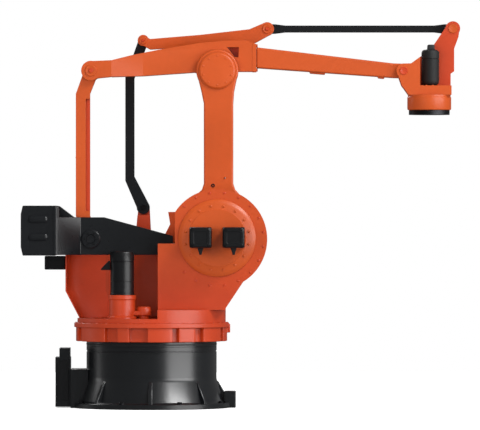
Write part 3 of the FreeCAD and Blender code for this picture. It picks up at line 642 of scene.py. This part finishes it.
def turntable_details():
    """Screws of the slewing ring, cheeks and gear covers, and each cover's raised middle."""
    ring_circle, cover_circle, cheek_circle = 0.5415, 0.229, 0.331
    ring_top = Vector((0, 0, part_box("slew_ring")[1].z - 0.001))
    ring_screws = ring_spots(ring_top, UP, ring_circle, 36, 5)
    button_screws("ring_screws", "turntable", ring_screws, UP, 0.009, SHADED_ORANGE)
    cover = at(SHOULDER, 0, 0, COVER_RISE_MM)
    cheek = SHOULDER.copy()
    for corner, name, axis in ((0, "near", NEAR), (1, "far", FAR)):
        cover.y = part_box(f"{name}_gear_cover")[corner].y
        cheek.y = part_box(f"{name}_cheek")[corner].y
        spots = ring_spots(cover, axis, cover_circle, 16, 11.25)
        button_screws(f"{name}_cover_screws", "turntable", spots, axis, 0.010, ORANGE)
        rim_end = SHOULDER.x - 0.27  # behind it the cheek has no round rim
        spots = ring_spots(cheek, axis, cheek_circle, 20, 9)
        spots = [spot for spot in spots if spot.x > rim_end]
        button_screws(f"{name}_cheek_screws", "turntable", spots, axis, 0.010, SHADED_ORANGE)
        lathe(f"{name}_cover_step", "turntable", ORANGE, [
            (0, -0.002), (0.2055, -0.002), (0.2055, 0.0035), (0.203, 0.006), (0, 0.006),
        ], cover, axis, steps=128)


def square_motor(node):
    """A servo motor: mounting flange, body, end cap with recessed face and a tapered plug."""
    plug_drop, end_inset, screw_inset = 0.048, 0.0065, 0.021
    low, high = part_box(node)
    start, axis = (low.y, FAR) if node.startswith("far") else (high.y, NEAR)
    half_w = (high.x - low.x) / 2
    half_h = (high.z - low.z - plug_drop) / 2
    middle = Vector(((low.x + high.x) / 2, start, high.z - half_h))
    long = high.y - low.y
    motor = boxy(f"{node}_shape", "turntable", MOTOR, middle, axis, X, half_w, half_h, [
        (0, 0, 0.010), (0.016, 0, 0.010), (0.0175, 0.0035, 0.016), (long - 0.082, 0.0035, 0.016),
        (long - 0.0805, 0.0065, 0.016), (long - 0.0765, 0.0065, 0.016),
        (long - 0.075, 0.0005, 0.018), (long - 0.022, 0.0005, 0.018),
        (long - 0.012, 0.0045, 0.018), (long - end_inset, 0.012, 0.016),
        (long - end_inset, 0.030, 0.010), (long - 0.0095, 0.033, 0.008),
        (long - 0.0095, 0.060, 0.004),
    ])
    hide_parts(node)
    end = middle + axis * (long - end_inset)
    spots = grid_spots(end, half_w - screw_inset, half_h - screw_inset, (-1, 1), (-1, 1))
    socket_screws(f"{node}_end_screws", "turntable", spots, axis, 0.006)
    plug = middle + axis * (long / 2) - Z * (half_h - 0.005)
    boxy(f"{node}_plug", "turntable", PLASTIC, plug, DOWN, X, 0.021, 0.058, [
        (0, 0, 0.005), (0.011, 0, 0.005), (0.013, 0.0015, 0.005), (0.036, 0.0095, 0.004),
        (0.053, 0.0135, 0.003),
    ])


def rear_wall():
    """The trough's rear wall, swept in one hollow curve into the far wall; its paint is a lighter
    red than its neighbours', painted light in the trough.
    """
    low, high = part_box("rear_wall")
    foot_x, bend_z = -0.516, 0.833
    sweep, lip, steps = 0.300, 0.010, 16
    rings = []
    for level in (low.z, (low.z + bend_z) / 2, bend_z, (bend_z + high.z) / 2, high.z):
        share = min(1, (level - low.z) / (bend_z - low.z))
        outer = foot_x + (low.x - foot_x) * share
        ring = [(outer, high.y + 0.004, level), (outer, low.y, level)]
        for step in range(steps + 1):
            turn = math.pi / 2 * step / steps
            ring.append((
                outer + lip + sweep * (1 - math.cos(turn)),
                low.y + (high.y - low.y + 0.0005) * math.sin(turn),
                level,
            ))
        ring.append((outer + lip + sweep, high.y + 0.004, level))
        rings.append(ring)
    bm = bmesh.new()
    loft_into(bm, rings)
    piece = from_bmesh("rear_wall_shape", bm, "turntable", TROUGH_LIT_PAINT, 0.003)
    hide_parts("rear_wall")


def slew_drive():
    """The slewing motor, its flange and the two gearbox bosses."""
    low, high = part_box("slew_motor")
    radius = (high.x - low.x) / 2
    foot = Vector(((low.x + high.x) / 2, (low.y + high.y) / 2, low.z))
    tall = high.z - low.z
    body, seam = radius - 0.003, tall * 0.30
    motor = lathe("slew_motor_shape", "turntable", MOTOR, [
        (0, 0), (radius, 0), (radius, 0.013), (body, 0.015), (body, seam),
        (radius - 0.005, seam + 0.002), (radius - 0.005, seam + 0.005), (body, seam + 0.007),
        (body, tall - 0.075), (radius - 0.006, tall - 0.073), (radius - 0.006, tall - 0.069),
        (radius - 0.001, tall - 0.067), (radius - 0.001, tall - 0.016),
        (radius - 0.005, tall - 0.006), (radius - 0.014, tall), (radius * 0.6, tall),
        (radius * 0.58, tall - 0.003), (0, tall - 0.003),
    ], foot, UP, steps=96)
    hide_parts("slew_motor")
    spots = ring_spots(Vector((foot.x, foot.y, high.z - 0.0065)), UP, radius * 0.78, 4, 45)
    socket_screws("slew_motor_screws", "turntable", spots, UP, 0.006)
    box_low, box_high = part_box("slew_gearbox")
    deck = Vector((foot.x, foot.y, box_low.z))
    boss, tall = (box_high.y - box_low.y) / 2, box_high.z - box_low.z
    pinion_x, gap, top = -0.050, 0.024, 0.086
    bm = bmesh.new()
    lathe_into(bm, [
        (0, 0), (boss + 0.012, 0), (boss + 0.012, 0.012), (boss + 0.008, 0.016),
        (boss - 0.003, 0.022), (boss - 0.003, tall - 0.036), (boss + 0.003, tall - 0.028),
        (boss + 0.003, tall - 0.005), (boss - 0.001, tall), (0, tall),
    ], axis_frame(deck, UP), 96)
    lathe_into(bm, [
        (0, 0), (0.034, 0), (0.034, gap), (0.046, gap), (0.050, gap + 0.004), (0.050, top - 0.014),
        (0.047, top - 0.006), (0.040, top), (0.018, top), (0.016, top - 0.003), (0, top - 0.003),
    ], axis_frame(Vector((pinion_x, foot.y, deck.z)), UP), 72)
    gearbox = from_bmesh("slew_gearbox_shape", bm, "turntable", SHADED_ORANGE)
    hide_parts("slew_gearbox")
    bridge = Vector(((foot.x + pinion_x) / 2, foot.y, deck.z + gap))
    boxy("slew_gearbox_bridge", "turntable", SHADED_ORANGE, bridge, UP, X, 0.077, 0.043, [
        (0, 0.004, 0.010), (0.004, 0, 0.012), (0.022, 0, 0.012), (0.030, 0.006, 0.010),
        (0.032, 0.012, 0.008),
    ])
    spots = ring_spots(deck + UP * 0.011, UP, boss + 0.004, 10, 18)
    button_screws("slew_boss_screws", "turntable", spots, UP, 0.005, SHADED_ORANGE)


def junction_box_details():
    low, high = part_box("junction_box")
    middle = Vector(((low.x + high.x) / 2, low.y, (low.z + high.z) / 2))
    half_w, half_h = (high.x - low.x) / 2, (high.z - low.z) / 2
    lid_inset, screw_inset = 0.006, 0.016
    lid_half = half_w - lid_inset, half_h - lid_inset
    boxy("junction_box_lid", "turntable", MOTOR, middle, NEAR, X, *lid_half, [
        (-0.002, 0, 0.006), (0.003, 0, 0.006), (0.005, 0.002, 0.005),
        (0.005, 0.014, 0.003), (0.004, 0.015, 0.003), (0.004, 0.040, 0.002),
    ])
    screw_half = half_w - screw_inset, half_h - screw_inset
    spots = grid_spots(middle + NEAR * 0.003, *screw_half, (-1, 1), (-1, 1))
    socket_screws("junction_box_screws", "turntable", spots, NEAR, 0.004)
    for number, share in enumerate((0.3, 0.7)):
        place = Vector((low.x + (high.x - low.x) * share, high.y, middle.z))
        gland(f"junction_gland_{number}", "turntable", place, FAR, 0.014)


# lower arm, lever, counterweight and rear rod


def link_arm_details():
    """Screws round the elbow cap, a plug and a nipple on the near face, a hatch on the far one."""
    cap_middle = Vector((ELBOW.x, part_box("elbow_cap")[0].y + 0.001, ELBOW.z))
    spots = ring_spots(cap_middle, NEAR, 0.104, 10, 18)
    button_screws("elbow_cap_screws", "link_arm", spots, NEAR, 0.008, ORANGE)
    lathe("link_plug", "link_arm", DARK_STEEL, [
        (0, -0.004), (0.014, -0.004), (0.014, 0.001), (0.0125, 0.0025), (0.006, 0.0025),
        (0.0055, -0.001), (0, -0.001),
    ], at(SHOULDER, -31, -LINK_FACE_MM, 381), NEAR, steps=32)
    grease_nipple("link_nipple", "link_arm", at(SHOULDER, 55, -LINK_FACE_MM, 435), NEAR)
    hatch = at(SHOULDER, 0, LINK_FACE_MM, 420)
    boxy("link_hatch", "link_arm", ORANGE, hatch, FAR, X, 0.060, 0.085, [
        (-0.003, 0, 0.014), (0.003, 0, 0.014), (0.005, 0.002, 0.012), (0.005, 0.050, 0.006),
    ])
    spots = grid_spots(hatch + FAR * 0.004, 0.048, 0.073, (-1, 1), (-1, 0, 1))
    button_screws("link_hatch_screws", "link_arm", spots, FAR, 0.006, ORANGE)


def lever_details():
    """The counterweight's raised bars, edge and bolts, and the boss and cap at the crank."""
    body = "counterweight_lever"
    low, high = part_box("counterweight")
    for number, z in enumerate((1.345, 1.219)):
        middle = Vector(((low.x + high.x) / 2 - 0.001, low.y + 0.002, z))
        boxy(f"counterweight_bar_{number}", body, BLACK, middle, NEAR, X, 0.068, 0.026, [
            (-0.010, 0, 0.020), (0.003, 0, 0.020), (0.009, 0.004, 0.018), (0.013, 0.012, 0.012),
            (0.014, 0.020, 0.006),
        ])
    edge = [(high.x + x, low.y + y) for x, y in (
        (-0.016, -0.004), (0.004, -0.004), (0.026, 0.016), (0.020, 0.030), (-0.016, 0.010),
    )]
    bm = bmesh.new()
    loft_into(bm, [[(x, y, z) for x, y in edge] for z in (low.z + 0.006, high.z - 0.008)])
    from_bmesh("counterweight_edge", bm, body, BLACK, 0.003)
    crank = Vector((CRANK.x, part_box("crank_pin")[0].y, CRANK.z))
    lathe("crank_boss", body, BLACK, [
        (0.02, -0.002), (0.068, -0.002), (0.068, 0.007), (0.061, 0.013), (0.034, 0.013),
        (0.033, 0.006), (0.02, 0.006),
    ], crank, NEAR)
    cap("crank_cap", body, BLACK, crank, NEAR, 0.0325, 0.009)
    spots = ring_spots(crank + NEAR * 0.012, NEAR, 0.0455, 6)
    socket_screws("crank_boss_screws", body, spots, NEAR, 0.006)
    spots = [Vector((low.x + 0.015, y, z)) for y in (-0.28, -0.17) for z in (1.20, 1.33)]
    hex_bolts("counterweight_bolts", body, spots, BACK, 0.016, DARK_STEEL)


def rear_rod_details():
    """A thin plate of darker red in the rod's channel, painted shade there, and the cast band
    across it, in millimetres.
    """
    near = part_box("rear_push_rod")[0].y / MM
    back, front, top, bottom = -37.5, -8.5, -202, -998
    channel = [(back, top), (front, top), (front, bottom), (back, bottom)]
    # painted shade: a thin plate of the shaded orange laid in the channel
    plate("rear_rod_channel_shade", "rear_push_rod", SHADED_ORANGE, REAR, channel, near + 33, near + 36, 0.001)
    pivot = REAR.x / MM
    band = (
        (pivot - 110.5, near - 1.5, ROD_BAND_MM - 5), (pivot - 36, near + 4, ROD_BAND_MM + 5),
    )
    blocks("rear_rod_band", "rear_push_rod", ORANGE, [band], 0.001)


# rocker, rear pin, upper arm and boom


def pin_caps():
    """A cap and a nut on each pin's near end."""
    rocker_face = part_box("rocker")[0].y
    for name, body, pin, radius, face in (
        ("rocker_front_cap", "rocker", ROCKER_FRONT, 0.034, rocker_face),
        ("rocker_rear_cap", "rocker", ROCKER_REAR, 0.028, rocker_face),
        ("rear_pin_cap", "rear_pin", REAR, 0.041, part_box("arm_casting")[0].y),
    ):
        cap(name, body, ORANGE, Vector((pin.x, face + 0.0005, pin.z)), NEAR, radius, 0.009, 0.2)
        lathe(f"{name}_nut", body, SHADED_ORANGE, [
            (0, 0), (radius * 0.42, 0), (radius * 0.42, 0.007), (radius * 0.36, 0.009), (0, 0.009),
        ], Vector((pin.x, face - 0.008, pin.z)), NEAR, steps=6)


def arm_details():
    """The bolts and the side edges of the flange between arm casting and boom."""
    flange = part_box("boom")[0].x
    spots = [
        Vector((flange - 0.0005, y * MM, ELBOW.z + z * MM))
        for z in (8, 179) for y in (-66, -22, 22, 66)
    ]
    hex_bolts("boom_bolts", "arm", spots, FRONT, 0.012, ORANGE)
    x, z = flange / MM, ELBOW.z / MM
    blocks("boom_flange", "arm", ORANGE, [
        ((x - 30, near, z - 7), (x, far, z + 192)) for near, far in ((-97.5, -90), (90, 97.5))
    ])


def boom_lugs():
    """Two small cast lugs under the boom, following its lower edge, in millimetres."""
    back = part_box("boom")[0].x / MM, ELBOW.z / MM + 21
    front = WRIST.x / MM - 74, ELBOW.z / MM - 50

    def under(x):
        return back[1] + (x - back[0]) / (front[0] - back[0]) * (front[1] - back[1])

    bm = bmesh.new()
    sunk, taper = 6, 8
    for x0, x1, drop in ((1125, 1245, 12), (1612, 1668, 11)):
        outline = [
            (x0, under(x0) + sunk), (x0 + taper, under(x0) - drop),
            (x1 - taper, under(x1) - drop), (x1, under(x1) + sunk),
        ]
        prism_into(bm, [(x * MM, z * MM) for x, z in outline], -0.045, 0.045)
    from_bmesh("boom_lugs", bm, "arm", ORANGE, 0.003)


# wrist


def wrist_motor():
    low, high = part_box("wrist_motor")
    radius = (high.x - low.x) / 2
    foot = Vector(((low.x + high.x) / 2, (low.y + high.y) / 2, low.z))
    tall = high.z - low.z
    motor = lathe("wrist_motor_shape", "wrist", MATT_BLACK, [
        (0, 0), (radius - 0.032, 0), (radius - 0.018, 0.004), (radius - 0.008, 0.012),
        (radius - 0.002, 0.024), (radius - 0.001, 0.036), (radius - 0.001, tall - 0.070),
        (radius - 0.004, tall - 0.068), (radius - 0.004, tall - 0.064), (radius, tall - 0.062),
        (radius, tall - 0.020), (radius - 0.006, tall - 0.007), (radius - 0.018, tall), (0, tall),
    ], foot, UP, steps=80)
    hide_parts("wrist_motor")
    low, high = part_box("wrist_motor_plug")
    middle = Vector(((low.x + high.x) / 2 - 0.004, (low.y + high.y) / 2, low.z))
    plug = boxy("wrist_motor_plug_shape", "wrist", PLASTIC, middle, UP, X, 0.027, 0.024, [
        (-0.004, -0.004, 0.008), (0.003, -0.004, 0.008), (0.006, 0, 0.008),
        (0.028, 0.001, 0.008), (0.034, 0.004, 0.007), (0.037, 0.010, 0.005),
    ])
    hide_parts("wrist_motor_plug")


def wrist_details():
    """The round gearbox under the wrist, its seat's screws, and the two pins' caps."""
    low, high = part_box("wrist_gearbox")
    radius = (high.x - low.x) / 2
    tall = high.z - low.z
    gearbox = lathe("wrist_gearbox_shape", "wrist", ORANGE, [
        (0, 0), (radius - 0.010, 0), (radius - 0.003, 0.003), (radius, 0.010),
        (radius, tall - 0.018), (radius - 0.004, tall - 0.014), (radius - 0.004, tall), (0, tall),
    ], Vector((FLANGE.x, 0, low.z)), UP, steps=112)
    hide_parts("wrist_gearbox")
    knob = Vector((WRIST_KNOB.x, KNOB_FACE, WRIST_KNOB.z))
    cap("wrist_knob_cap", "wrist", ORANGE, knob, NEAR, 0.033, 0.006, 0.2)
    # the wrist pin's cap is in the shaded orange: painted shade at the pivot
    lathe("wrist_pin_cap", "wrist", SHADED_ORANGE, [
        (0, -0.001), (0.029, -0.001), (0.029, 0.002), (0.027, 0.006), (0.020, 0.006),
        (0.018, 0.005), (0, 0.005),
    ], Vector((WRIST.x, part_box("wrist_casting")[0].y, WRIST.z)), NEAR, steps=48)
    spots = ring_spots(Vector((FLANGE.x, 0, ELBOW.z - 0.105)), UP, 0.088, 12, 15)
    button_screws("wrist_seat_screws", "wrist", spots, UP, 0.008, ORANGE)


def finish_nodes():
    """Give every node its paint; most are shown by a copy with rounded edges."""
    shown = {node: rounded_node(node, width) for node, width in ROUNDED.items()}

    def shaded_behind_knob(spot):
        return spot.y > KNOB_FACE - 0.002 and spot.x > WRIST.x + 0.12

    def shaded_in_pocket(spot):
        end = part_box("boom")[0].x - 0.085
        return SHOULDER.x + 0.066 < spot.x < end and -0.09 < spot.y < -0.03

    # painted shade: the wrist's faces behind the knob's lug take the shaded orange
    second_paint(shown["wrist_casting"], SHADED_ORANGE, shaded_behind_knob)
    # painted shade: the faces in the arm casting's pocket take the shaded orange
    second_paint(shown["arm_casting"], SHADED_ORANGE, shaded_in_pocket)
    for node, item in frame["nodes"].items():
        for place in item.material_slots:
            place.material = NODE_PAINT[node]


# stage: floor, light and camera

FLOOR_BOX = (-9, -7, -0.05), (10, 9, 0)
CAMERA_PLACE = (0.632, -40.04, 1.376)
SENSOR_MM, LENS_MM = 36, 420
LIGHT_AIM = Vector((0.5, 0, 1.3))
SKY_SEEN, SKY_LIGHT, SKY_GLOSS = 1.0, 0.48, 0.1  # how bright the camera, surfaces and gloss see it


def make_stage():
    bm = bmesh.new()
    block_into(bm, *FLOOR_BOX)
    mesh = bpy.data.meshes.new("floor")
    bmesh.ops.recalc_face_normals(bm, faces=bm.faces)
    bm.to_mesh(mesh)
    bm.free()
    floor = bpy.data.objects.new("floor", mesh)
    SCENE.collection.objects.link(floor)
    mesh.materials.append(floor_material())
    floor.visible_diffuse = False
    floor.visible_glossy = False


def area_light(name, azimuth, elevation, distance, size, power, shines=True):
    """A softbox aimed at the arm; the azimuth goes from the camera's side towards +X.

    shines says if glossy surfaces mirror it.
    """
    turn, lift = math.radians(azimuth), math.radians(elevation)
    away = Vector((
        math.sin(turn) * math.cos(lift), -math.cos(turn) * math.cos(lift), math.sin(lift),
    ))
    light = bpy.data.lights.new(name, "AREA")
    light.shape = "RECTANGLE"
    light.size, light.size_y = size
    light.energy = power
    lamp = bpy.data.objects.new(name, light)
    SCENE.collection.objects.link(lamp)
    lamp.visible_glossy = shines
    lamp.location = LIGHT_AIM + away * distance
    lamp.rotation_euler = (-away).to_track_quat("-Z", "Y").to_euler()


def make_world():
    """A white background that lights the arm more softly than the camera sees it."""
    world = bpy.data.worlds.new("studio")
    SCENE.world = world
    world.use_nodes = True
    tree = world.node_tree
    path = tree.nodes.new("ShaderNodeLightPath")

    def background(node, strength):
        node.inputs["Color"].default_value = (1, 1, 1, 1)
        node.inputs["Strength"].default_value = strength
        return node.outputs["Background"]

    def choose(ray, otherwise, then):
        mix = tree.nodes.new("ShaderNodeMixShader")
        tree.links.new(path.outputs[ray], mix.inputs["Fac"])
        tree.links.new(otherwise, mix.inputs[1])
        tree.links.new(then, mix.inputs[2])
        return mix.outputs["Shader"]

    seen = background(tree.nodes["Background"], SKY_SEEN)
    lighting = background(tree.nodes.new("ShaderNodeBackground"), SKY_LIGHT)
    gloss = background(tree.nodes.new("ShaderNodeBackground"), SKY_GLOSS)
    sky = choose("Is Camera Ray", choose("Is Glossy Ray", lighting, gloss), seen)
    tree.links.new(sky, tree.nodes["World Output"].inputs["Surface"])


def make_lights():
    area_light("key", 50, 41, 20, (11, 4.5), 2450)
    area_light("side", 52, 4, 16, (15, 5), 1150)
    area_light("left", -106, 8, 16, (3, 6), 80)
    area_light("fill", -24, 2, 18, (12, 8), 1200, shines=False)
    area_light("back", 205, 35, 18, (14, 8), 1500)


def make_camera():
    """A long lens from the near side, level with the arm's middle."""
    lens = bpy.data.cameras.new("camera")
    lens.sensor_width = SENSOR_MM
    lens.lens = LENS_MM
    lens.clip_end = 200
    camera = bpy.data.objects.new("camera", lens)
    SCENE.collection.objects.link(camera)
    camera.location = CAMERA_PLACE
    camera.rotation_euler = (math.radians(90), 0, 0)
    SCENE.camera = camera


make_camera()
make_world()
make_lights()
make_stage()
SCENE.view_settings.view_transform = "Standard"

finish_nodes()
base_casting()
base_details()
turntable_details()
for motor_node in SQUARE_MOTORS:
    square_motor(motor_node)
rear_wall()
slew_drive()
junction_box_details()
link_arm_details()
lever_details()
rear_rod_details()
pin_caps()
arm_details()
boom_lugs()
wrist_motor()
wrist_details()
